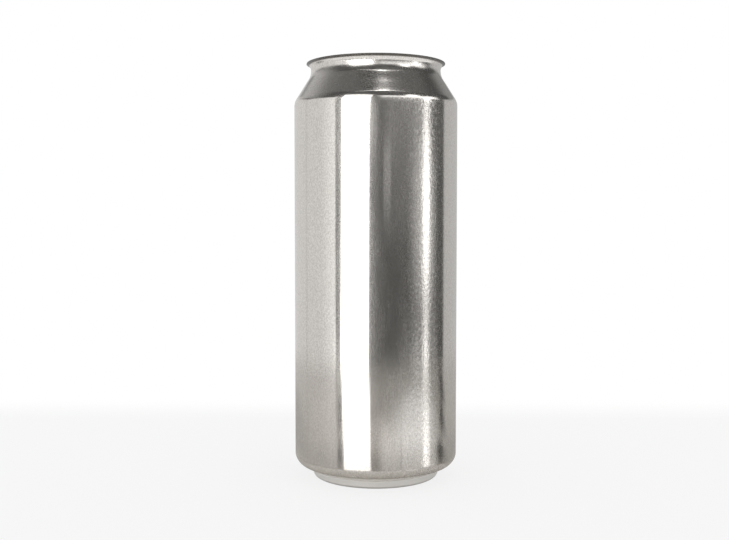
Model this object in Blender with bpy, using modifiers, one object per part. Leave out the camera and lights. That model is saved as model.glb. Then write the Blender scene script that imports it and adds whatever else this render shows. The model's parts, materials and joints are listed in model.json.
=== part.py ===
"""The body of a 500 ml aluminium drinks can, empty and before its end is seamed on.

The real can is one piece: a cup is drawn from sheet, ironed into a tall thin wall, domed at the
bottom, necked in at the top and flanged outwards. So the model is one object too. Its outer
skin is a profile turned about +Z with a Screw modifier, and a Solidify modifier gives that skin
the sheet's gauge on the inside: thick at the base, thin along the wall and a little thicker
again at the neck. The can stands on the plane z = 0 with its axis on +Z. Units are metres.
"""

from math import asin, cos, pi, radians, sin, tan

import bpy
from mathutils import Matrix, Vector

# Driving dimensions of the outside
CAN_HEIGHT = 0.1680
BODY_DIAMETER = 0.0662
THROAT_DIAMETER = 0.0526
FLANGE_DIAMETER = 0.0563
STAND_DIAMETER = 0.0478

# Neck: a smooth cone from the shoulder up to the throat, then the flange
SHOULDER_HEIGHT = 0.1522
SHOULDER_RADIUS = 0.0047
THROAT_HEIGHT = 0.1630
THROAT_RADIUS = 0.0062
FLANGE_RADIUS = 0.0026
FLANGE_RISE = radians(18)

# Base: the heel turns in under the wall, the stand ring drops to the floor and the dome rises
HEEL_HEIGHT = 0.0064
HEEL_RADIUS = 0.0045
CHIME_DIAMETER = 0.0519
CHIME_HEIGHT = 0.0033
CHIME_RADIUS = 0.0009
RING_NOSE_RADIUS = 0.0014
RING_FLAT_WIDTH = 0.0005
RING_LEG_SLOPE = radians(8)
DOME_DEPTH = 0.0104
DOME_EDGE_HEIGHT = 0.0046
DOME_EDGE_RADIUS = 0.0012

# Sheet gauges, and the heights between which the ironed wall is thinnest
BASE_GAUGE = 0.00026
WALL_GAUGE = 0.00011
NECK_GAUGE = 0.00017
THIN_WALL_BOTTOM = 0.0120
THIN_WALL_TOP = 0.1380
NECK_GAUGE_BOTTOM = 0.1440

# Resolution of the turned skin
TURN_STEPS = 64
ARC_STEP = radians(24)
DOME_SEGMENTS = 5
MERGE_DISTANCE = 0.00001

# Surface
ALUMINIUM_COLOUR = (0.80, 0.79, 0.77, 1.0)
ALUMINIUM_ROUGHNESS = 0.18


def clear_scene():
    """Remove every object that the file opened with."""
    for leftover in list(bpy.data.objects):
        bpy.data.objects.remove(leftover, do_unlink=True)


def round_corner(before, corner, after, radius):
    """Return the points of the arc that rounds one corner of a profile."""
    to_before = (before - corner).normalized()
    to_after = (after - corner).normalized()
    half_angle = to_before.angle(to_after) / 2
    centre = corner + (to_before + to_after).normalized() * radius / sin(half_angle)
    spoke = corner + to_before * radius / tan(half_angle) - centre
    sweep = pi - 2 * half_angle
    if to_before.cross(to_after) > 0:
        sweep = -sweep
    segments = max(2, round(abs(sweep) / ARC_STEP))
    turns = [Matrix.Rotation(sweep * step / segments, 2) for step in range(segments + 1)]
    return [centre + turn @ spoke for turn in turns]


def dome_arc(edge_radius):
    """Return the dome's spherical cap from its edge to the axis, as (radius, height) points."""
    rise = DOME_DEPTH - DOME_EDGE_HEIGHT
    sphere_radius = (edge_radius**2 + rise**2) / (2 * rise)
    centre_height = DOME_DEPTH - sphere_radius
    edge_angle = asin(edge_radius / sphere_radius)
    angles = [edge_angle * (1 - step / DOME_SEGMENTS) for step in range(DOME_SEGMENTS + 1)]
    return [
        Vector((sphere_radius * sin(angle), centre_height + sphere_radius * cos(angle)))
        for angle in angles
    ]


def outer_profile():
    """Return the outer skin from the flange's rim down to the dome's centre."""
    wall = BODY_DIAMETER / 2
    throat = THROAT_DIAMETER / 2
    rim = Vector((FLANGE_DIAMETER / 2, CAN_HEIGHT - NECK_GAUGE))
    stand = STAND_DIAMETER / 2
    # the rounded nose takes this much of the floor line on each side of its flat
    nose_reach = RING_NOSE_RADIUS * tan((pi / 2 - RING_LEG_SLOPE) / 2)
    outer_foot = stand + RING_FLAT_WIDTH / 2 + nose_reach
    inner_foot = stand - RING_FLAT_WIDTH / 2 - nose_reach
    dome = dome_arc(inner_foot - DOME_EDGE_HEIGHT * tan(RING_LEG_SLOPE))
    # each corner of the profile: its radius from the axis, its height and its rounding
    corners = [
        (throat, rim.y - (rim.x - throat) * tan(FLANGE_RISE), FLANGE_RADIUS),
        (throat, THROAT_HEIGHT, THROAT_RADIUS),
        (wall, SHOULDER_HEIGHT, SHOULDER_RADIUS),
        (wall, NECK_GAUGE_BOTTOM, None),
        (wall, THIN_WALL_TOP, None),
        (wall, THIN_WALL_BOTTOM, None),
        (wall, HEEL_HEIGHT, HEEL_RADIUS),
        (CHIME_DIAMETER / 2, CHIME_HEIGHT, CHIME_RADIUS),
        (outer_foot, 0.0, RING_NOSE_RADIUS),
        (inner_foot, 0.0, RING_NOSE_RADIUS),
        (dome[0].x, dome[0].y, DOME_EDGE_RADIUS),
    ]
    path = [rim] + [Vector(corner[:2]) for corner in corners] + [dome[1]]
    points = [rim]
    for before, (radial, height, rounding), after in zip(path, corners, path[2:]):
        corner = Vector((radial, height))
        if rounding:
            points += round_corner(before, corner, after, rounding)
        else:
            points.append(corner)
    return points + dome[1:]


def gauge_at(height):
    """Return the sheet's thickness at a height on the outside of the can."""
    if height < THIN_WALL_BOTTOM:
        return BASE_GAUGE
    if height > THIN_WALL_TOP:
        return NECK_GAUGE
    return WALL_GAUGE


def aluminium():
    """Return the bright drawn and ironed aluminium of the whole can."""
    material = bpy.data.materials.new("ironed_aluminium")
    material.use_nodes = True
    shader = material.node_tree.nodes["Principled BSDF"]
    shader.inputs["Base Color"].default_value = ALUMINIUM_COLOUR
    shader.inputs["Metallic"].default_value = 1.0
    shader.inputs["Roughness"].default_value = ALUMINIUM_ROUGHNESS
    return material


def turned_shell(name, profile, material):
    """Return an object whose profile is turned about +Z and thickened inwards by its gauge."""
    mesh = bpy.data.meshes.new(name)
    vertices = [(point.x, 0.0, point.y) for point in profile]
    edges = [(index, index + 1) for index in range(len(profile) - 1)]
    mesh.from_pydata(vertices, edges, [])
    mesh.materials.append(material)
    shell = bpy.data.objects.new(name, mesh)

    gauge = shell.vertex_groups.new(name="gauge")
    for index, point in enumerate(profile):
        gauge.add([index], gauge_at(point.y) / BASE_GAUGE, "REPLACE")

    turn = shell.modifiers.new("turn", "SCREW")
    turn.axis = "Z"
    turn.angle = 2 * pi
    turn.steps = TURN_STEPS
    turn.render_steps = TURN_STEPS
    turn.use_merge_vertices = True
    turn.merge_threshold = MERGE_DISTANCE
    turn.use_smooth_shade = True

    sheet = shell.modifiers.new("sheet", "SOLIDIFY")
    sheet.thickness = BASE_GAUGE
    sheet.offset = -1.0
    sheet.use_even_offset = True
    sheet.use_quality_normals = True
    sheet.vertex_group = gauge.name
    return shell


def main():
    """Build the can body in a collection of its own."""
    clear_scene()
    collection = bpy.data.collections.new("drinks_can_body")
    bpy.context.scene.collection.children.link(collection)
    collection.objects.link(turned_shell("can_body", outer_profile(), aluminium()))


if __name__ == "__main__":
    main()
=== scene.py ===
"""An empty aluminium drinks can in a white studio.

The can body is dressed as what it is: sheet aluminium that was drawn to a cup, ironed to a
mirror along its wall, necked in and flanged at the top, varnished on its stand ring and
lacquered inside. It stands on a pale sweep, and it mirrors a dark room with a large softbox, a
strip light and some fill. Lengths are metres unless a name ends in _mm.
"""

from __future__ import annotations

import json
import logging
from dataclasses import dataclass
from math import atan, cos, degrees, pi, radians, sin, tan
from typing import ClassVar

import bmesh
import bpy
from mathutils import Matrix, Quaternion, Vector

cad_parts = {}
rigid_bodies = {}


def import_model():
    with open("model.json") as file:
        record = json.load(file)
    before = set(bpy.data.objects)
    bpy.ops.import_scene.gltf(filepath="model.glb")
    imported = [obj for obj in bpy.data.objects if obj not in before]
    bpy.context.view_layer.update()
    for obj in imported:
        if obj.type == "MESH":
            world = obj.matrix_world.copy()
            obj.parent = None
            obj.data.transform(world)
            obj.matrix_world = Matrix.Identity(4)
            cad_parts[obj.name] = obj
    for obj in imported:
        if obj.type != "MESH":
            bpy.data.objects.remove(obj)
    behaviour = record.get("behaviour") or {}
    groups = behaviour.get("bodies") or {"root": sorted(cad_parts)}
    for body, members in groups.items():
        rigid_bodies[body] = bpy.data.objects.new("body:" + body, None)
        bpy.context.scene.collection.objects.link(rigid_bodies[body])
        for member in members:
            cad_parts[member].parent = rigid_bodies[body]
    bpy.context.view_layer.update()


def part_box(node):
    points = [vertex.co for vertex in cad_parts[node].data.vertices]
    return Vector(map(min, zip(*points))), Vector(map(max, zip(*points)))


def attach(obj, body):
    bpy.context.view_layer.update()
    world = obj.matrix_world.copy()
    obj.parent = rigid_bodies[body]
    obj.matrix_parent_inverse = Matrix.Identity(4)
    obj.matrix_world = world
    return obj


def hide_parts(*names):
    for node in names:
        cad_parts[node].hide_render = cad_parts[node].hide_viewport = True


LOG = logging.getLogger("drinks_can")
MM = 0.001
BODY = "root"
CAN_NODE = "can_body"

Tree = bpy.types.NodeTree
Socket = bpy.types.NodeSocket
Colour = tuple[float, float, float, float]


def linear(hex_colour: str) -> Colour:
    """Turn an sRGB hex colour into the linear colour that a shader takes.

    Args:
        hex_colour: Six hex digits, such as "cbc8c1".

    Returns:
        Linear red, green and blue, and an alpha of one.
    """
    channels = [int(hex_colour[index : index + 2], 16) / 255 for index in (0, 2, 4)]
    turned = [c / 12.92 if c <= 0.04045 else ((c + 0.055) / 1.055) ** 2.4 for c in channels]
    return (*turned, 1.0)


def add_node(tree: Tree, kind: str, inputs: dict | None = None, **settings: object) -> bpy.types.Node:
    """Add one node to a tree with its settings, its input values and its links.

    Args:
        tree: The node tree that takes the node.
        kind: The node's type name.
        inputs: For each input, by name or index, a socket to link or a value to set.
        **settings: Properties of the node itself.

    Returns:
        The new node.
    """
    node = tree.nodes.new(kind)
    for name, value in settings.items():
        setattr(node, name, value)
    for name, value in (inputs or {}).items():
        if isinstance(value, Socket):
            tree.links.new(value, node.inputs[name])
        else:
            node.inputs[name].default_value = value
    return node


def maths(tree: Tree, operation: str, *values: Socket | float) -> Socket:
    """Work one number out from others."""
    return add_node(tree, "ShaderNodeMath", dict(enumerate(values)), operation=operation).outputs["Value"]


def distance(tree: Tree, place: Socket) -> Socket:
    """Measure how far a place is from the origin."""
    return add_node(tree, "ShaderNodeVectorMath", {0: place}, operation="LENGTH").outputs["Value"]


def ramp(
    tree: Tree, value: Socket, start: float, end: float, low: Socket | float = 0.0, high: float = 1.0
) -> Socket:
    """Add a straight ramp that is level at both ends.

    Args:
        tree: The node tree.
        value: What the ramp runs along.
        start: The value at which it starts.
        end: The value at which it ends.
        low: What it gives up to its start.
        high: What it gives from its end on.

    Returns:
        The ramp's height.
    """
    inputs = {"Value": value, "From Min": start, "From Max": end, "To Min": low, "To Max": high}
    return add_node(tree, "ShaderNodeMapRange", inputs).outputs["Result"]


def fade(tree: Tree, value: Socket, start: float, end: float) -> Socket:
    """Add a soft step from nothing to one.

    Args:
        tree: The node tree.
        value: What the step runs along.
        start: The value at which there is nothing yet.
        end: The value at which it is full, which may lie below the start.

    Returns:
        The step's height.
    """
    inputs = {"Value": value, "From Min": start, "From Max": end}
    step = add_node(tree, "ShaderNodeMapRange", inputs, interpolation_type="SMOOTHSTEP")
    return step.outputs["Result"]


def mix_colours(tree: Tree, share: Socket, first: Socket | Colour, second: Socket | Colour) -> Socket:
    """Mix two colours by the share of the second."""
    # a Mix node has inputs of each data type, and its colours are inputs 6 and 7 and output 2
    inputs = {"Factor": share, 6: first, 7: second}
    return add_node(tree, "ShaderNodeMix", inputs, data_type="RGBA").outputs[2]


def mix_shaders(tree: Tree, share: Socket | float, first: Socket, second: Socket) -> Socket:
    """Mix two shaders by the share of the second."""
    return add_node(tree, "ShaderNodeMixShader", {"Fac": share, 1: first, 2: second}).outputs["Shader"]


def principled(tree: Tree, inputs: dict) -> Socket:
    """Add the shader of one real surface."""
    return add_node(tree, "ShaderNodeBsdfPrincipled", inputs).outputs["BSDF"]


def blank_material(name: str) -> tuple[bpy.types.Material, Tree]:
    """Make a new material with nothing in it.

    Args:
        name: The material's name.

    Returns:
        The material and its node tree.
    """
    material = bpy.data.materials.new(name)
    material.use_nodes = True
    material.node_tree.nodes.clear()
    return material, material.node_tree


@dataclass(frozen=True)
class Relief:
    """One layer of fine marks on sheet metal, worked out from real sizes.

    Attributes:
        width_mm: The size of one mark across the sheet.
        length_mm: Its size along the upright direction.
        depth_mm: How deep the marks are, or 0 where they only change the finish.
        detail: How many finer octaves each mark has.
    """

    width_mm: float
    length_mm: float
    depth_mm: float = 0.0
    detail: float = 2.0

    def pattern(self, tree: Tree, place: Socket) -> Socket:
        """Add the layer's pattern to a material.

        Args:
            tree: The material's node tree.
            place: The object coordinates that the pattern reads.

        Returns:
            The pattern as a number around one half.
        """
        across = 1 / (self.width_mm * MM)
        along = 1 / (self.length_mm * MM)
        sized = add_node(tree, "ShaderNodeMapping", {"Vector": place, "Scale": (across, across, along)})
        inputs = {"Vector": sized.outputs["Vector"], "Scale": 1.0, "Detail": self.detail}
        return add_node(tree, "ShaderNodeTexNoise", inputs).outputs["Fac"]

    def bump(
        self, tree: Tree, place: Socket, below: Socket | None = None, strength: Socket | float = 1.0
    ) -> Socket:
        """Raise the layer's pattern on a surface.

        Args:
            tree: The material's node tree.
            place: The object coordinates.
            below: The normal that the layer lies on, if other layers are there already.
            strength: How much of the layer is there.

        Returns:
            The normal with the layer.
        """
        inputs = {
            "Height": self.pattern(tree, place),
            "Distance": self.depth_mm * MM,
            "Strength": strength,
        }
        if below is not None:
            inputs["Normal"] = below
        return add_node(tree, "ShaderNodeBump", inputs).outputs["Normal"]


@dataclass(frozen=True)
class IronedAluminium:
    """Can sheet, aluminium 3104, ironed between polished dies and left bare.

    The eye sees a mirror with a warm grey cast and a broad sheen beside each highlight, streaked
    upright where the die ran, and pale and satin on the varnished stand ring.
    """

    # bare sheet, a little darker in its pits
    colour: str = "f4f0eb"
    pitted_colour: str = "dedad5"
    # pits that the lubricant leaves are about 0.02 mm wide, too fine to show, so drawn coarser
    pits: Relief = Relief(width_mm=0.5, length_mm=0.7, detail=1.0)
    pits_least: float = 0.35
    pits_most: float = 0.65
    # its polish: best on the ironed wall, duller up the neck and dullest at the throat
    mirror_roughness: float = 0.08
    neck_roughness: float = 0.12
    neck_bottom: float = 152.0 * MM
    throat_roughness: float = 0.24
    throat_bottom: float = 162.8 * MM
    polish_blend: float = 1.5 * MM
    # the share of it that lies in fine grooves, which give the broad sheen, smudged and grained
    sheen_roughness: float = 0.3
    sheen_least: float = 0.14
    sheen_most: float = 0.32
    haze_thin: float = 0.35
    haze_thick: float = 0.7
    smudge: Relief = Relief(width_mm=6.0, length_mm=20.0, detail=4.0)
    # the sheet's rolled grain is about 0.02 mm wide, so it is drawn coarser as well
    grain: Relief = Relief(width_mm=0.5, length_mm=5.0)
    grain_share: float = 0.4
    # real ironing lines are about 0.05 mm apart, too fine to show, so they are drawn coarser
    lines: Relief = Relief(width_mm=1.2, length_mm=45.0, depth_mm=0.002)
    waves: Relief = Relief(width_mm=16.0, length_mm=34.0, depth_mm=0.012, detail=0.0)
    mottle: Relief = Relief(width_mm=1.3, length_mm=1.6, depth_mm=0.0004)
    # dents and scuffs from the can beside it on the line, along one upright line of the wall
    rub: Relief = Relief(width_mm=0.9, length_mm=1.4, depth_mm=0.04, detail=3.0)
    rub_line: tuple[float, float, float] = (20.2 * MM, -26.3 * MM, 0.0)
    rub_width: float = 13.0 * MM
    rub_core: float = 2.6 * MM
    scuffs: Relief = Relief(width_mm=0.9, length_mm=1.5, detail=3.0)
    scuffs_share: float = 0.5
    scuffs_least: float = 0.5
    scuffs_most: float = 0.7
    # varnish on the stand ring, with painted shade on its nose: grey there, darkest at the very bottom
    ring_colour: str = "eae8e4"
    ring_metallic: float = 0.45
    ring_roughness: float = 0.4
    ring_top: float = 3.6 * MM
    ring_blend: float = 0.5 * MM
    # painted shade: the nose is grey where the ring would mirror the shadowed floor right under it
    nose_shade_colour: str = "a5a29d"
    nose_bottom: float = 0.1 * MM
    nose_top: float = 1.3 * MM
    # the flange's lip, painted dark: painted shade along the rim's top
    lip_shade_colour: str = "6c6a67"
    lip_roughness: float = 0.3
    lip_radius: float = 26.9 * MM
    lip_blend: float = 0.3 * MM
    lip_bottom: float = 165.5 * MM

    def rubbed(self, tree: Tree, level: Socket) -> Socket:
        """Find where other cans rub this one.

        Args:
            tree: The material's node tree.
            level: The object coordinates without their height.

        Returns:
            One along the line of rubbing, and nothing away from it.
        """
        ends = {0: level, 1: self.rub_line}
        off_line = add_node(tree, "ShaderNodeVectorMath", ends, operation="DISTANCE").outputs["Value"]
        return fade(tree, off_line, self.rub_width, self.rub_core)

    def surface(self, tree: Tree, place: Socket, rubbed: Socket) -> Socket:
        """Lay the sheet's relief layers over each other.

        Args:
            tree: The material's node tree.
            place: The object coordinates.
            rubbed: Where other cans rub it.

        Returns:
            The normal of the surface.
        """
        normal = None
        layers = ((self.waves, 1.0), (self.lines, 1.0), (self.mottle, 1.0), (self.rub, rubbed))
        for layer, strength in layers:
            normal = layer.bump(tree, place, normal, strength)
        return normal

    def pitted_metal(self, tree: Tree, place: Socket) -> Socket:
        """Return the metal's colour, darker in its pits."""
        pitted = ramp(tree, self.pits.pattern(tree, place), self.pits_least, self.pits_most)
        return mix_colours(tree, pitted, linear(self.colour), linear(self.pitted_colour))

    def polish(self, tree: Tree, height: Socket) -> Socket:
        """Find how rough the mirror is: best on the ironed wall, duller up the worked neck.

        Args:
            tree: The material's node tree.
            height: The height above the stand ring.

        Returns:
            The roughness.
        """
        duller = ((self.neck_bottom, self.neck_roughness), (self.throat_bottom, self.throat_roughness))
        roughness = self.mirror_roughness
        for bottom, above in duller:
            top = bottom + self.polish_blend
            roughness = ramp(tree, height, bottom, top, low=roughness, high=above)
        return roughness

    def sheen_share(self, tree: Tree, place: Socket, rubbed: Socket) -> Socket:
        """Find how much of the surface lies in grooves that give the broad sheen.

        Args:
            tree: The material's node tree.
            place: The object coordinates.
            rubbed: Where other cans rub it, and scuffs add to the grooves.

        Returns:
            The share, from nothing to one.
        """
        smudge, grain = self.smudge.pattern(tree, place), self.grain.pattern(tree, place)
        haze = add_node(tree, "ShaderNodeMix", {"Factor": self.grain_share, "A": smudge, "B": grain})
        grooves = ramp(
            tree,
            haze.outputs["Result"],
            self.haze_thin,
            self.haze_thick,
            low=self.sheen_least,
            high=self.sheen_most,
        )
        marks = self.scuffs.pattern(tree, place)
        scuffed = ramp(tree, marks, self.scuffs_least, self.scuffs_most, high=self.scuffs_share)
        return maths(tree, "MULTIPLY_ADD", scuffed, rubbed, grooves)

    def sheet(self, tree: Tree, place: Socket, height: Socket, level: Socket) -> Socket:
        """Mix the bare sheet from its polished plateau and its grooves.

        Args:
            tree: The material's node tree.
            place: The object coordinates.
            height: Their height alone.
            level: The coordinates without it.

        Returns:
            The shader of the bare sheet.
        """
        rubbed = self.rubbed(tree, level)
        normal = self.surface(tree, place, rubbed)
        metal = self.pitted_metal(tree, place)
        plateau, grooves = (
            principled(
                tree, {"Base Color": metal, "Metallic": 1.0, "Roughness": roughness, "Normal": normal}
            )
            for roughness in (self.polish(tree, height), self.sheen_roughness)
        )
        return mix_shaders(tree, self.sheen_share(tree, place, rubbed), plateau, grooves)

    def ring(self, tree: Tree, height: Socket) -> Socket:
        """Make the satin varnish of the stand ring, with painted shade in grey on its nose.

        Args:
            tree: The material's node tree.
            height: The height above the stand ring.

        Returns:
            The varnish's shader.
        """
        # painted shade: grey on the nose, fading out up the ring
        above_nose = fade(tree, height, self.nose_bottom, self.nose_top)
        varnish = mix_colours(tree, above_nose, linear(self.nose_shade_colour), linear(self.ring_colour))
        return principled(
            tree,
            {"Base Color": varnish, "Metallic": self.ring_metallic, "Roughness": self.ring_roughness},
        )

    def on_lip(self, tree: Tree, height: Socket, level: Socket) -> Socket:
        """Find the flange's lip, where dark shade is painted.

        Args:
            tree: The material's node tree.
            height: The height above the stand ring.
            level: The object coordinates without it.

        Returns:
            One on the lip and nothing elsewhere.
        """
        past_lip = ramp(tree, distance(tree, level), self.lip_radius, self.lip_radius + self.lip_blend)
        high = maths(tree, "GREATER_THAN", height, self.lip_bottom)
        return maths(tree, "MULTIPLY", past_lip, high)

    def material(self) -> bpy.types.Material:
        """Build the finish.

        Returns:
            The material of the can's outside.
        """
        material, tree = blank_material("ironed_aluminium")
        place = add_node(tree, "ShaderNodeTexCoord").outputs["Object"]
        parts = add_node(tree, "ShaderNodeSeparateXYZ", {"Vector": place}).outputs
        height = parts["Z"]
        flat = add_node(tree, "ShaderNodeCombineXYZ", {"X": parts["X"], "Y": parts["Y"]})
        level = flat.outputs["Vector"]
        above_ring = fade(tree, height, self.ring_top - self.ring_blend, self.ring_top)
        sheet = self.sheet(tree, place, height, level)
        skin = mix_shaders(tree, above_ring, self.ring(tree, height), sheet)
        # painted shade: dark metal on the lip along the rim's top
        lip = principled(
            tree,
            {"Base Color": linear(self.lip_shade_colour), "Metallic": 1.0, "Roughness": self.lip_roughness},
        )
        skin = mix_shaders(tree, self.on_lip(tree, height, level), skin, lip)
        add_node(tree, "ShaderNodeOutputMaterial", {"Surface": skin})
        return material


@dataclass(frozen=True)
class LacqueredInside:
    """The same sheet under a sprayed epoxy lacquer, cured on the inside of the can.

    The eye sees satin metal with a slight golden cast and a soft gloss over it.
    """

    colour: str = "d9d4c9"
    metallic: float = 0.75
    roughness: float = 0.32
    coat: float = 0.6
    coat_roughness: float = 0.15
    orange_peel: Relief = Relief(width_mm=0.9, length_mm=0.9, depth_mm=0.006)

    def material(self) -> bpy.types.Material:
        """Build the finish.

        Returns:
            The material of the can's inside.
        """
        material, tree = blank_material("lacquered_inside")
        place = add_node(tree, "ShaderNodeTexCoord").outputs["Object"]
        lacquer = principled(
            tree,
            {
                "Base Color": linear(self.colour),
                "Metallic": self.metallic,
                "Roughness": self.roughness,
                "Normal": self.orange_peel.bump(tree, place),
                "Coat Weight": self.coat,
                "Coat Roughness": self.coat_roughness,
            },
        )
        add_node(tree, "ShaderNodeOutputMaterial", {"Surface": lacquer})
        return material


@dataclass
class CanBody:
    """The drawn and ironed can body: one sheet from the flange's rim to the middle of the dome.

    The wall's radius and the height come from the frame. The other sizes are the real can's.
    """

    wall_radius: float
    height: float
    # neck and flange
    shoulder_height: float = 152.2 * MM
    shoulder_round: float = 4.7 * MM
    throat_radius: float = 26.3 * MM
    throat_height: float = 163.0 * MM
    throat_round: float = 6.2 * MM
    flange_reach: float = 28.15 * MM
    flange_round: float = 2.6 * MM
    flange_rise: float = radians(18)
    # die rings on the cone: how far each lies down it, and whether it stands out or in
    neck_rings: tuple[tuple[float, int], ...] = ((0.24, -1), (0.41, 1), (0.58, -1))
    neck_ring_relief: float = 0.015 * MM
    neck_ring_round: float = 50.0 * MM
    # heel, stand ring and dome
    heel_height: float = 6.4 * MM
    heel_round: float = 4.5 * MM
    chime_radius: float = 25.95 * MM
    chime_height: float = 3.3 * MM
    chime_round: float = 0.9 * MM
    stand_radius: float = 23.9 * MM
    nose_round: float = 1.4 * MM
    nose_flat: float = 0.5 * MM
    leg_slope: float = radians(8)
    dome_depth: float = 10.4 * MM
    dome_edge_height: float = 4.6 * MM
    dome_edge_round: float = 1.2 * MM
    # the sheet's gauges, and the heights between which the ironed wall is thinnest
    base_gauge: float = 0.26 * MM
    wall_gauge: float = 0.11 * MM
    neck_gauge: float = 0.17 * MM
    thin_wall_bottom: float = 12.0 * MM
    thin_wall_top: float = 138.0 * MM
    # how finely the skin is drawn
    turn_steps: int = 160
    arc_step: float = radians(3)
    least_arc_steps: int = 3
    dome_step: float = radians(1)
    weld: float = 0.001 * MM
    longest_facet: float = 2.2 * MM
    outside: IronedAluminium = IronedAluminium()
    inside: LacqueredInside = LacqueredInside()

    def corners(self) -> list[tuple[Vector, float]]:
        """Place the corners of the outer skin's profile.

        Returns:
            Each corner, rim first, with the radius that rounds it.
        """
        rim_height = self.height - self.neck_gauge
        flange_fall = (self.flange_reach - self.throat_radius) * tan(self.flange_rise)
        nose_reach = self.nose_flat / 2 + self.nose_round * tan((pi / 2 - self.leg_slope) / 2)
        dome_edge = self.stand_radius - nose_reach - self.dome_edge_height * tan(self.leg_slope)
        places = [
            (self.flange_reach, rim_height, 0.0),
            (self.throat_radius, rim_height - flange_fall, self.flange_round),
            (self.throat_radius, self.throat_height, self.throat_round),
            *self.ring_corners(),
            (self.wall_radius, self.shoulder_height, self.shoulder_round),
            (self.wall_radius, self.heel_height, self.heel_round),
            (self.chime_radius, self.chime_height, self.chime_round),
            (self.stand_radius + nose_reach, 0.0, self.nose_round),
            (self.stand_radius - nose_reach, 0.0, self.nose_round),
            (dome_edge, self.dome_edge_height, self.dome_edge_round),
        ]
        return [(Vector((across, 0.0, up)), rounding) for across, up, rounding in places]

    def ring_corners(self) -> list[tuple[float, float, float]]:
        """Place the faint rings that the necking dies left down the cone.

        Returns:
            Each ring's radius, its height and the radius that rounds it, highest first.
        """
        throat = Vector((self.throat_radius, self.throat_height))
        shoulder = Vector((self.wall_radius, self.shoulder_height))
        along = shoulder - throat
        outward = Vector((-along.y, along.x)).normalized() * self.neck_ring_relief
        rings = [throat + along * share + outward * side for share, side in self.neck_rings]
        return [(ring.x, ring.y, self.neck_ring_round) for ring in rings]

    def add_dome(self, bm: bmesh.types.BMesh, edge: bmesh.types.BMVert) -> None:
        """Turn a line from the dome's edge up to the axis, along the dome's sphere.

        Args:
            bm: The bmesh that holds the profile.
            edge: The profile's last vertex, on the dome's edge.
        """
        rise = self.dome_depth - self.dome_edge_height
        sphere = (edge.co.x**2 + rise**2) / (2 * rise)
        centre = Vector((0.0, 0.0, self.dome_depth - sphere))
        sweep = Vector((0.0, 1.0)).angle(Vector((edge.co.x, edge.co.z - centre.z)))
        steps = round(sweep / self.dome_step)
        bmesh.ops.spin(bm, geom=[edge], cent=centre, axis=(0, 1, 0), angle=-sweep, steps=steps)

    def profile(self, bm: bmesh.types.BMesh) -> None:
        """Draw the outer skin's profile at +X, from the rim down to the middle of the dome.

        Args:
            bm: The bmesh that takes the profile.
        """
        corners = self.corners()
        points = [bm.verts.new(place) for place, _ in corners]
        for above, below in zip(points, points[1:]):
            bm.edges.new((above, below))
        self.add_dome(bm, points[-1])
        for point, (_, rounding) in zip(points, corners):
            if not rounding:
                continue
            before, after = [edge.other_vert(point).co - point.co for edge in point.link_edges]
            half_angle = before.angle(after) / 2
            # a profile of 0.5 is a true arc
            bmesh.ops.bevel(
                bm,
                geom=[point],
                offset=rounding / tan(half_angle),
                offset_type="OFFSET",
                segments=max(self.least_arc_steps, round((pi - 2 * half_angle) / self.arc_step)),
                profile=0.5,
                affect="VERTICES",
            )
        long_edges = [edge for edge in bm.edges if edge.calc_length() > self.longest_facet]
        for edge in long_edges:
            cuts = int(edge.calc_length() / self.longest_facet)
            bmesh.ops.subdivide_edges(bm, edges=[edge], cuts=cuts)

    def gauge_at(self, height: float) -> float:
        """Find how thick the sheet is at a height.

        Args:
            height: The height above the stand ring.

        Returns:
            The gauge there.
        """
        if height < self.thin_wall_bottom:
            return self.base_gauge
        return self.neck_gauge if height > self.thin_wall_top else self.wall_gauge

    def skin(self) -> bpy.types.Mesh:
        """Turn the profile into the outer skin, weighted with the sheet's gauge.

        Returns:
            The skin's mesh, its normals outwards.
        """
        bm = bmesh.new()
        self.profile(bm)
        bmesh.ops.spin(
            bm,
            geom=bm.verts[:] + bm.edges[:],
            cent=(0, 0, 0),
            axis=(0, 0, 1),
            angle=2 * pi,
            steps=self.turn_steps,
            use_merge=True,
        )
        bmesh.ops.remove_doubles(bm, verts=bm.verts, dist=self.weld)
        bmesh.ops.recalc_face_normals(bm, faces=bm.faces)
        if sum(face.normal.dot(face.calc_center_median()) for face in bm.faces) < 0:
            bmesh.ops.reverse_faces(bm, faces=bm.faces)
        weights = bm.verts.layers.deform.verify()
        for vert in bm.verts:
            vert[weights][0] = self.gauge_at(vert.co.z) / self.base_gauge
        for face in bm.faces:
            face.smooth = True
        mesh = bpy.data.meshes.new("can_body_sheet")
        bm.to_mesh(mesh)
        bm.free()
        return mesh

    def build(self) -> bpy.types.Object:
        """Give the skin its gauge inwards and dress it outside and inside.

        Returns:
            The finished can body, linked to the scene.
        """
        mesh = self.skin()
        mesh.materials.append(self.outside.material())
        mesh.materials.append(self.inside.material())
        body = bpy.data.objects.new(mesh.name, mesh)
        bpy.context.scene.collection.objects.link(body)
        gauge = body.vertex_groups.new(name="gauge")
        sheet = body.modifiers.new("sheet", "SOLIDIFY")
        sheet.thickness = self.base_gauge
        sheet.offset = -1.0
        sheet.use_even_offset = True
        sheet.use_quality_normals = True
        sheet.vertex_group = gauge.name
        sheet.material_offset = 1
        return body


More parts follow.
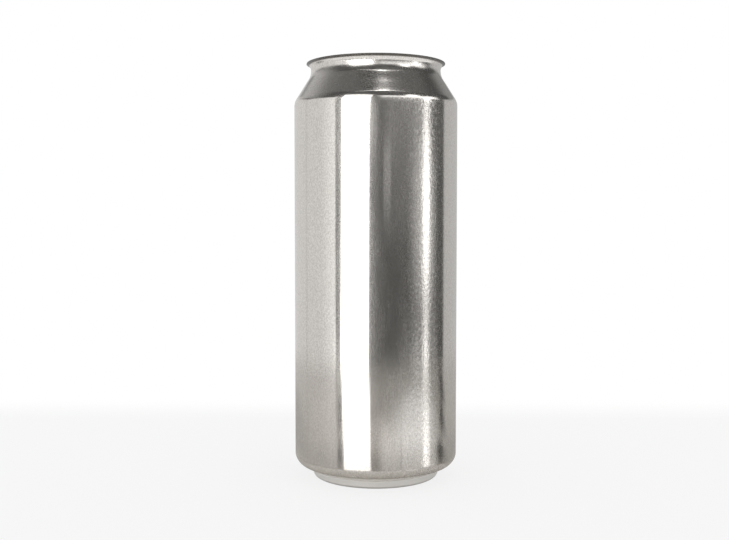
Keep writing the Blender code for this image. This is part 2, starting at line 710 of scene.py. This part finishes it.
@dataclass(frozen=True)
class StudioLight:
    """A soft light that the can mirrors, hung at one distance from it.

    Angles are degrees as the can sees them: azimuth 0 towards the camera, growing to the
    camera's right, and elevation above the horizon.

    Attributes:
        name: What the light is.
        azimuth: Its left and right edge.
        elevation: Its lower and upper edge.
        level: Its brightness, where 1 mirrors as white.
        feather: How far its left, right, lower and upper edge fade, as shares of its size.
        roll: How many degrees its top leans to the camera's right.
    """

    name: str
    azimuth: tuple[float, float]
    elevation: tuple[float, float]
    level: float
    feather: tuple[float, float, float, float] = (0.1, 0.1, 0.1, 0.1)
    roll: float = 0.0

    DISTANCE: ClassVar[float] = 3.0
    CENTRE_HEIGHT: ClassVar[float] = 0.09

    def build(self) -> bpy.types.Object:
        """Hang the light, facing the can, seen only in what mirrors it.

        Returns:
            The light's object.
        """
        turn = radians(sum(self.azimuth) / 2)
        lift = radians(sum(self.elevation) / 2)
        width = 2 * self.DISTANCE * cos(lift) * tan(radians(self.azimuth[1] - self.azimuth[0]) / 2)
        height = 2 * self.DISTANCE * tan(radians(self.elevation[1] - self.elevation[0]) / 2)
        away = Vector((sin(turn) * cos(lift), -cos(turn) * cos(lift), sin(lift)))
        data = bpy.data.lights.new(self.name, "AREA")
        data.shape = "RECTANGLE"
        data.size, data.size_y = width, height
        # with this energy the face is as bright as its level
        data.energy = self.level * pi * width * height
        self.feather_edges(data)
        light = bpy.data.objects.new(self.name, data)
        light.location = Vector((0, 0, self.CENTRE_HEIGHT)) + away * self.DISTANCE
        light.rotation_mode = "QUATERNION"
        lean = Quaternion((0, 0, 1), -radians(self.roll))
        light.rotation_quaternion = (-away).to_track_quat("-Z", "Y") @ lean
        light.visible_camera = False
        light.visible_diffuse = False
        bpy.context.scene.collection.objects.link(light)
        return light

    def feather_edges(self, data: bpy.types.Light) -> None:
        """Fade the light's face towards its edges.

        Args:
            data: The light whose nodes are made.
        """
        data.use_nodes = True
        tree = data.node_tree
        tree.nodes.clear()
        face = add_node(tree, "ShaderNodeNewGeometry").outputs["Parametric"]
        parts = add_node(tree, "ShaderNodeSeparateXYZ", {"Vector": face}).outputs
        strength = 1.0
        left, right, lower, upper = self.feather
        edges = (("X", 0.0, left), ("X", 1.0, -right), ("Y", 0.0, lower), ("Y", 1.0, -upper))
        for axis, edge, reach in edges:
            if reach:
                strength = maths(tree, "MULTIPLY", strength, fade(tree, parts[axis], edge, edge + reach))
        emission = add_node(tree, "ShaderNodeEmission", {"Strength": strength})
        add_node(tree, "ShaderNodeOutputLight", {"Surface": emission.outputs["Emission"]})


@dataclass(frozen=True)
class Pool:
    """A painted pool of light or painted shade on the sweep, seen only in what mirrors it.

    Attributes:
        name: Where it is, as the camera sees it.
        colour: Its colour in the middle.
        centre: Where it lies.
        size: Its half width and half depth.
        turn: How many degrees it is turned anticlockwise, seen from above.
    """

    name: str
    colour: str
    centre: tuple[float, float]
    size: tuple[float, float]
    turn: float = 0.0

    # where its edge starts and where it is full, as shares of its size
    RIM: ClassVar[float] = 1.0
    CORE: ClassVar[float] = 0.2

    def over(self, tree: Tree, place: Socket, tone: Socket | Colour) -> Socket:
        """Lay the patch over a tone.

        Args:
            tree: The sweep's node tree.
            place: The object coordinates.
            tone: The colour below.

        Returns:
            The colour with the patch.
        """
        local = add_node(
            tree,
            "ShaderNodeMapping",
            {
                "Vector": place,
                "Location": (*self.centre, 0.0),
                "Rotation": (0.0, 0.0, radians(self.turn)),
                "Scale": (*self.size, 1.0),
            },
            vector_type="TEXTURE",
            label=self.name,
        )
        share = fade(tree, distance(tree, local.outputs["Vector"]), self.RIM, self.CORE)
        return mix_colours(tree, share, tone, linear(self.colour))


@dataclass
class Studio:
    """The pale sweep that the can stands on, and the room that it mirrors."""

    # each light's name, azimuth, elevation, level and feathered edges
    lights: tuple[StudioLight, ...] = (
        StudioLight("key_softbox", (-49.1, -9.2), (-14, 9.0), 4.8, (0.05, 0.05, 0.04, 0.0), roll=6),
        StudioLight("key_softbox_top", (-46.2, -4.1), (8.8, 38), 5.0, (0.05, 0.05, 0.0, 0.85), roll=4),
        StudioLight("left_wall", (-115, -56.3), (-30, 24), 0.62, (0.12, 0.04, 0.05, 0.2)),
        StudioLight("left_wall_return", (-58, -54), (9, 24), 0.8, (0.55, 0.25, 0.1, 0.2)),
        StudioLight("left_gap_glow", (-62, -42), (-3, 16), 0.11, (0.3, 0.3, 0.5, 0.2)),
        StudioLight("left_wall_glow", (-84, -56.3), (-16, 22), 0.2, (0.9, 0.04, 0.05, 0.2)),
        StudioLight("back_left_wall", (-178, -109), (-16, 24), 0.62, (0.1, 0.12, 0.05, 0.2)),
        StudioLight("left_ceiling", (-170, -68), (20, 68), 0.42, (0.3, 0.7, 0.1, 0.8)),
        StudioLight("ceiling_glow", (-120, -10), (50, 80), 0.08, (0.3, 0.6, 0.4, 0.5)),
        StudioLight("right_ceiling_glow", (0, 120), (42, 78), 0.06, (0.3, 0.3, 0.3, 0.3)),
        StudioLight("header_strip", (0, 36), (9.8, 27), 1.0, (0.4, 0.0, 0.04, 0.2)),
        StudioLight("header_hot_spot", (41, 68), (22, 34), 3.0, (0.4, 0.4, 0.3, 0.3)),
        StudioLight("header_strip_side", (36, 68), (9.8, 27), 1.25, (0.0, 0.0, 0.04, 0.2)),
        StudioLight("header_strip_end", (68, 102), (10.0, 28), 1.25, (0.0, 0.35, 0.12, 0.2)),
        StudioLight("pale_screen_top", (8, 88), (-3, 10), 0.08, (0.2, 0.2, 0.6, 0.0)),
        StudioLight("floor_beyond", (-12, 44), (-34, -12), 0.9, (0.12, 0.0, 0.1, 0.08)),
        StudioLight("floor_beyond_side", (44, 80), (-34, -12), 0.9, (0.0, 0.0, 0.1, 0.08)),
        StudioLight("floor_beyond_end", (80, 124), (-34, -13), 1.1, (0.0, 0.3, 0.1, 0.08)),
        StudioLight("floor_behind_right", (106, 168), (-36, -15), 0.5, (0.3, 0.2, 0.1, 0.08)),
        StudioLight("floor_behind_left", (-176, -126), (-36, -15), 0.7, (0.2, 0.2, 0.1, 0.08)),
        StudioLight("floor_beyond_right", (24, 100), (-20, -6.0), 0.22, (0.5, 0.2, 0.1, 0.3)),
        StudioLight("floor_beyond_left", (-62, -40), (-20, -5), 0.35, (0.2, 0.2, 0.1, 0.3)),
        StudioLight("pale_post", (9, 22), (-0.5, 6.0), 0.18, (0.25, 0.25, 0.5, 0.25)),
        StudioLight("pale_post_side", (-9, 5), (2, 10), 0.1, (0.3, 0.4, 0.4, 0.2)),
        StudioLight("strip_light", (64.5, 83.5), (-8.5, 11.5), 2.0, (0.5, 0.5, 0.5, 0.5), roll=9),
        StudioLight("strip_light_top", (66, 84.5), (8.6, 19), 4.2, (0.5, 0.5, 0.2, 0.6)),
        StudioLight("strip_light_foot", (66, 81), (-14, -5), 1.5, (0.5, 0.5, 0.3, 0.4)),
        StudioLight("strip_spill", (42, 98), (-8, 7), 0.42, (0.5, 0.4, 0.45, 0.3)),
        StudioLight("strip_spill_foot", (48, 72), (-12, -7), 0.3, (0.5, 0.4, 0.4, 0.4)),
        StudioLight("right_wall", (106.2, 178), (-16, 22), 0.46, (0.11, 0.1, 0.05, 0.2)),
        StudioLight("right_ceiling", (120, 178), (18, 55), 0.22, (0.4, 0.2, 0.1, 0.9)),
        StudioLight("overhead_lamp", (-9, 41), (65.5, 69.5), 4.8, (0.5, 0.5, 0.4, 0.4)),
        StudioLight("overhead_halo", (-46, 72), (65.0, 70.0), 2.2, (0.5, 0.5, 0.4, 0.4)),
    )
    # the sweep, which ends in nothing on every side
    sweep_reach: float = 0.45
    solid_reach: float = 0.26
    # seen directly, it is even and pale with a faint shadow, and melts into the room behind the can
    white: str = "ffffff"
    pale: str = "f6f6f6"
    shaded_share: float = 0.12
    melt_start: float = 0.103
    melt_end: float = 0.168
    # mirrored in the metal, it is a glossy grey board, but pale where it is seen from high above
    board: str = "aca9a4"
    board_roughness: float = 0.08
    grazing: float = 0.68
    steep: float = 0.4
    dark_room: str = "494948"
    # painted light and painted shade on the mirrored board: each pool's name, colour, centre and size,
    # the lowest layer first
    pools: tuple[Pool, ...] = (
        Pool("left front", "bbb8b3", (-0.16, -0.09), (0.14, 0.14)),
        Pool("left back", "8f8c88", (-0.085, 0.12), (0.1, 0.14)),
        Pool("near front", "d6d3ce", (0.02, -0.135), (0.075, 0.075)),
        # painted light: a lit patch where the strip light falls on the board
        Pool("right front", "ffffff", (0.142, -0.102), (0.145, 0.128)),
        # painted shadow: the can's own shadow on the board round its base
        Pool("painted shadow under the can", "8b8883", (0.006, -0.002), (0.125, 0.123)),
        # painted shade: dark gaps and streaks in the mirrored board
        Pool("dark gap, near", "625f5c", (-0.064, -0.072), (0.042, 0.0085), turn=39.5),
        Pool("dark gap, far", "625f5c", (-0.145, -0.138), (0.09, 0.018), turn=39.5),
        Pool("dark streak, near", "45433f", (0.074, -0.006), (0.045, 0.02)),
        Pool("dark streak, middle", "3a3835", (0.153, 0.021), (0.066, 0.024)),
        Pool("dark streak, far", "2c2a28", (0.25, 0.046), (0.115, 0.038)),
    )
    # painted light: the light grey that lies over them round the foot
    foot: Pool = Pool("round the foot", "c8c5c0", (0.0, 0.0), (0.088, 0.088))

    def build(self) -> None:
        """Make the sweep, the world and the lights."""
        self.lay_sweep()
        self.fill_room()
        for light in self.lights:
            LOG.info("hung %s", light.build().name)

    def lay_sweep(self) -> None:
        """Lay the sweep that the can stands on."""
        bm = bmesh.new()
        bmesh.ops.create_grid(bm, x_segments=1, y_segments=1, size=self.sweep_reach)
        mesh = bpy.data.meshes.new("pale_sweep")
        bm.to_mesh(mesh)
        bm.free()
        mesh.materials.append(self.sweep_material())
        sweep = bpy.data.objects.new("pale_sweep", mesh)
        bpy.context.scene.collection.objects.link(sweep)

    def seen_sweep(self, tree: Tree, depth: Socket, clear: Socket) -> Socket:
        """Make the sweep as it is seen directly.

        Args:
            tree: The sweep's node tree.
            depth: How far behind the can's axis a place lies.
            clear: The shader of nothing.

        Returns:
            An even pale shader with a faint shadow, which melts away behind the can.
        """
        lit = add_node(tree, "ShaderNodeEmission", {"Color": linear(self.pale)}).outputs["Emission"]
        shaded = add_node(tree, "ShaderNodeBsdfDiffuse", {"Color": linear(self.white)}).outputs["BSDF"]
        pale = mix_shaders(tree, self.shaded_share, lit, shaded)
        return mix_shaders(tree, fade(tree, depth, self.melt_start, self.melt_end), pale, clear)

    def mirrored_sweep(self, tree: Tree, place: Socket) -> Socket:
        """Make the sweep as the metal mirrors it.

        Args:
            tree: The sweep's node tree.
            place: The object coordinates.

        Returns:
            A glossy grey shader with painted pools of light and painted shade.
        """
        tone = linear(self.board)
        for pool in self.pools:
            tone = pool.over(tree, place, tone)
        facing = add_node(tree, "ShaderNodeLayerWeight").outputs["Facing"]
        tone = mix_colours(tree, fade(tree, facing, self.grazing, self.steep), tone, linear(self.pale))
        tone = self.foot.over(tree, place, tone)
        return principled(tree, {"Base Color": tone, "Roughness": self.board_roughness})

    def sweep_material(self) -> bpy.types.Material:
        """Build the finish of painted studio board, seen as even white and mirrored as grey.

        Returns:
            The sweep's material.
        """
        material, tree = blank_material("pale_sweep")
        place = add_node(tree, "ShaderNodeTexCoord").outputs["Object"]
        depth = add_node(tree, "ShaderNodeSeparateXYZ", {"Vector": place}).outputs["Y"]
        clear = add_node(tree, "ShaderNodeBsdfTransparent").outputs["BSDF"]
        mirrored = add_node(tree, "ShaderNodeLightPath").outputs["Is Glossy Ray"]
        seen, board = self.seen_sweep(tree, depth, clear), self.mirrored_sweep(tree, place)
        sweep = mix_shaders(tree, mirrored, seen, board)
        past_edge = fade(tree, distance(tree, place), self.solid_reach, self.sweep_reach)
        sweep = mix_shaders(tree, past_edge, sweep, clear)
        add_node(tree, "ShaderNodeOutputMaterial", {"Surface": sweep})
        return material

    def fill_room(self) -> None:
        """Light the sweep evenly with white, and keep the room that metal mirrors dark."""
        world = bpy.data.worlds.new("studio")
        bpy.context.scene.world = world
        world.use_nodes = True
        tree = world.node_tree
        tree.nodes.clear()
        white, dark = (
            add_node(tree, "ShaderNodeBackground", {"Color": linear(colour)}).outputs["Background"]
            for colour in (self.white, self.dark_room)
        )
        mirrored = add_node(tree, "ShaderNodeLightPath").outputs["Is Glossy Ray"]
        room = mix_shaders(tree, mirrored, white, dark)
        add_node(tree, "ShaderNodeOutputWorld", {"Surface": room})


@dataclass(frozen=True)
class StudioCamera:
    """The camera, level with the can's upper half and a little off its axis.

    Attributes:
        distance: From the can's axis to the lens.
        eye_height: The lens's height above the sweep.
        pitch: How far it looks down, in radians.
        focal_px: Its focal length in pixels of the frame.
        frame_width: The frame's width in pixels.
        axis_column: The column of the frame in which the can's axis stands.
        sensor_mm: Its sensor's width.
    """

    distance: float = 0.4029
    eye_height: float = 0.1045
    pitch: float = radians(2.872)
    focal_px: float = 981.4
    frame_width: float = 729.0
    axis_column: float = 375.7
    sensor_mm: float = 36.0

    def build(self) -> None:
        """Place the camera and make it the scene's."""
        data = bpy.data.cameras.new("studio_camera")
        data.sensor_width = self.sensor_mm
        data.lens = self.focal_px * self.sensor_mm / self.frame_width
        yaw = atan((self.axis_column - self.frame_width / 2) / self.focal_px)
        camera = bpy.data.objects.new("studio_camera", data)
        camera.location = (0.0, -self.distance, self.eye_height)
        camera.rotation_euler = (pi / 2 - self.pitch, 0.0, yaw)
        bpy.context.scene.collection.objects.link(camera)
        bpy.context.scene.camera = camera
        LOG.info("camera %.1f mm lens, turned %.2f degrees", data.lens, degrees(yaw))


def main() -> None:
    """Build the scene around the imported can."""
    logging.basicConfig(level=logging.INFO, format="%(name)s: %(message)s")
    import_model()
    _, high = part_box(CAN_NODE)
    can = CanBody(wall_radius=high[0], height=high[2])
    body = can.build()
    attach(body, BODY)
    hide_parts(CAN_NODE)
    LOG.info("can body: %d faces in the skin", len(body.data.polygons))
    Studio().build()
    StudioCamera().build()
    bpy.context.scene.view_settings.view_transform = "Standard"


if __name__ == "__main__":
    main()
